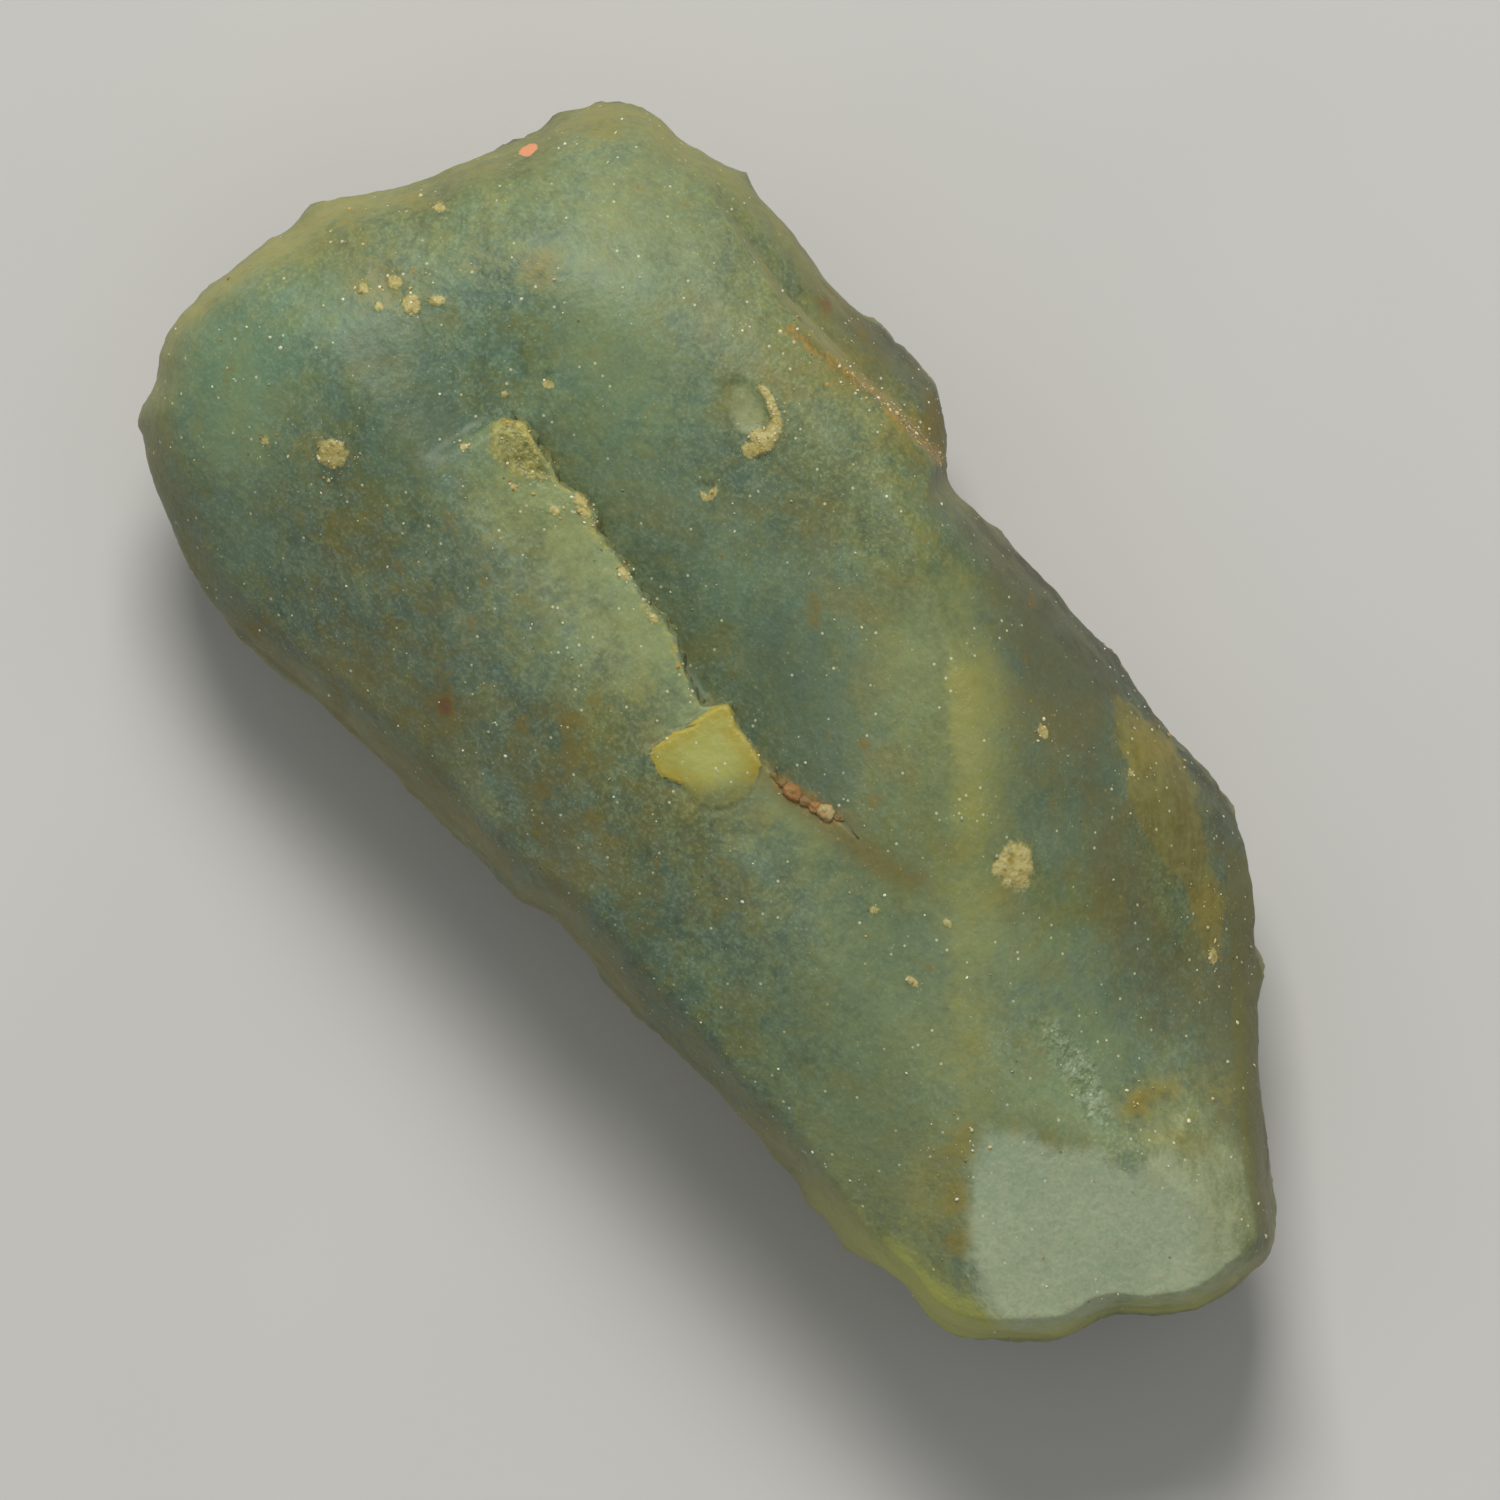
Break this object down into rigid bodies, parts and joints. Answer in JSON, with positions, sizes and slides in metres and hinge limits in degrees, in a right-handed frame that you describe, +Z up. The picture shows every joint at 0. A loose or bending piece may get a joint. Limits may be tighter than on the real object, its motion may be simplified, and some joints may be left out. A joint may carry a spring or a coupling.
{
  "type": "raw aventurine stone",
  "caption": "Rough unpolished aventurine stone: long pillow-like body with a stepped flake scar, a soft diagonal ridge, a flat pale broken end and a flat resting face.",
  "frame": {"origin": "middle of the stone's length and width, on the level of the flat face it rests on", "axes": "+X along the stone towards its flat pale broken end, +Y across it towards the low lump on its side, +Z up out of the broad worn top"},
  "size_m": [0.0399, 0.0194, 0.0123],
  "materials": {
    "stone": "waxy, frosted, translucent green quartz with rusty and yellow stains"
  },
  "bodies": {
    "root": {"aventurine": "stone"}
  },
  "joints": []
}
